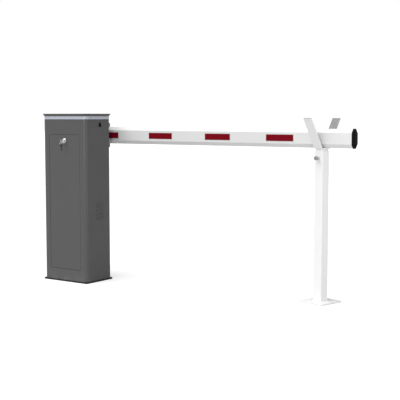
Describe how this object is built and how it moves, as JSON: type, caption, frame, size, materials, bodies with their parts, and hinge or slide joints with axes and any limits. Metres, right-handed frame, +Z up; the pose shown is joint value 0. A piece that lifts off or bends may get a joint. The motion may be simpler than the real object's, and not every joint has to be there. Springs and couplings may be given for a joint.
{
  "type": "parking boom barrier",
  "caption": "Parking boom barrier: upright drive cabinet with a key-locked door, an octagonal boom on a main shaft and a separate post with a V fork that holds the lowered boom.",
  "frame": {"origin": "centre of the cabinet's anchor hole pattern on the ground", "axes": "+X along the lowered boom away from the cabinet, +Z up, -Y towards the door side"},
  "size_m": [1.928, 0.4596, 1],
  "materials": {
    "cabinet_grey": "fine textured powder coat, mid grey",
    "base_black": "black coat",
    "zinc_steel": "zinc plated",
    "frame_paint": "dark grey coat",
    "dark_rubber": "matt",
    "light_band": "milky light diffuser",
    "cast_housing": "cast",
    "bearing_steel": "ground",
    "drive_alloy": "cast alloy",
    "black_plastic": "moulded black",
    "spring_steel": "black spring steel",
    "box_plastic": "light grey moulding",
    "board_green": "circuit board",
    "brass": "turned brass",
    "link_steel": "machined steel",
    "chrome": "polished",
    "boom_white": "white coated aluminium",
    "strip_pale": "pale retroreflective border",
    "strip_red": "deep red retroreflective film",
    "post_white": "white powder coat",
    "clamp_steel": "grey steel"
  },
  "bodies": {
    "cabinet": {"base_plate": "base_black", "cabinet_shell": "cabinet_grey", "door_frame": "frame_paint", "door_seal": "dark_rubber", "band_gasket": "dark_rubber", "led_diffuser": "light_band", "lid": "cabinet_grey", "release_bush": "brass", "back_plate": "frame_paint", "front_plate": "frame_paint", "tie_bars": "zinc_steel", "bearing_housings": "cast_housing", "shaft_bearings": "bearing_steel", "frame_bolts": "zinc_steel", "gearbox_housing": "drive_alloy", "motor_body": "drive_alloy", "motor_fan_cover": "black_plastic", "limit_switches": "black_plastic", "stop_buffers": "dark_rubber", "stop_bars": "frame_paint", "spring_shelf": "frame_paint", "spring_tensioners": "zinc_steel", "balance_springs": "spring_steel", "control_plate": "zinc_steel", "control_box": "box_plastic", "control_box_cover": "box_plastic", "control_board": "board_green", "post_plate": "post_white", "post_tube": "post_white", "clamp_nut": "zinc_steel"},
    "boom": {"main_shaft": "bearing_steel", "rocker_arm": "link_steel", "spring_lever": "link_steel", "lever_pins": "bearing_steel", "limit_cams": "brass", "boom_hub": "frame_paint", "boom_holder": "frame_paint", "holder_clamp": "frame_paint", "holder_bolts": "zinc_steel", "boom_tube": "boom_white", "boom_end_caps": "black_plastic", "strip_borders": "strip_pale", "red_strips": "strip_red"},
    "crank": {"output_shaft": "bearing_steel", "crank_arm": "link_steel"},
    "rod": {"connecting_rod": "link_steel"},
    "hangers": {"spring_hangers": "zinc_steel"},
    "door": {"door_panel": "cabinet_grey", "door_stiffener": "zinc_steel", "lock_rosette": "chrome"},
    "lock": {"lock_cylinder": "chrome", "lock_cam": "link_steel", "key": "chrome"},
    "ring": {"key_ring": "chrome", "spare_key": "chrome"},
    "keyhole_cover": {"release_cover": "black_plastic"},
    "release": {"release_spindle": "link_steel"},
    "fork": {"fork_stem": "post_white", "fork_cradle": "post_white"},
    "clamp": {"clamp_bolt": "clamp_steel"}
  },
  "joints": [
    {"name": "boom_swing", "type": "hinge", "parent": "cabinet", "child": "boom", "pos_m": [0, 0, 0.87], "axis": [0, -1, 0], "range_deg": [0, 90], "deforming": ["balance_springs"]},
    {"name": "crank_turn", "type": "hinge", "parent": "cabinet", "child": "crank", "pos_m": [0, 0, 0.6], "axis": [0, -1, 0], "range_deg": [0, 90]},
    {"name": "rod_pivot", "type": "hinge", "parent": "crank", "child": "rod", "pos_m": [0.04243, 0, 0.55757], "axis": [0, -1, 0], "range_deg": [-90, 0]},
    {"name": "hanger_pivot", "type": "hinge", "parent": "boom", "child": "hangers", "pos_m": [-0.05657, 0, 0.92657], "axis": [0, -1, 0], "range_deg": [-90, 0]},
    {"name": "door_tilt", "type": "hinge", "parent": "cabinet", "child": "door", "pos_m": [0.004, -0.115, 0.077], "axis": [1, 0, 0], "range_deg": [0, 35]},
    {"name": "lock_turn", "type": "hinge", "parent": "door", "child": "lock", "pos_m": [0.004, -0.115, 0.841], "axis": [0, -1, 0], "range_deg": [0, 90]},
    {"name": "key_ring_swing", "type": "hinge", "parent": "lock", "child": "ring", "pos_m": [0.004, -0.14115, 0.83685], "axis": [0, -1, 0], "range_deg": [-20, 20]},
    {"name": "keyhole_cover_swing", "type": "hinge", "parent": "cabinet", "child": "keyhole_cover", "pos_m": [0.1703, 0.014, 0.944], "axis": [1, 0, 0], "range_deg": [-100, 100]},
    {"name": "release_turn", "type": "hinge", "parent": "cabinet", "child": "release", "pos_m": [0.168, 0.014, 0.932], "axis": [1, 0, 0], "range_deg": [0, 90]},
    {"name": "fork_height", "type": "slide", "parent": "cabinet", "child": "fork", "axis": [0, 0, 1], "range_m": [-0.008, 0]},
    {"name": "clamp_bolt_turn", "type": "hinge", "parent": "cabinet", "child": "clamp", "pos_m": [1.54347, 0.1638, 0.767], "axis": [-0.2419, -0.9703, 0], "range_deg": [0, 360]}
  ],
  "couplings": [
    {"joint": "crank_turn", "follows": "boom_swing", "ratio": 1},
    {"joint": "rod_pivot", "follows": "boom_swing", "ratio": -1},
    {"joint": "hanger_pivot", "follows": "boom_swing", "ratio": -1}
  ]
}
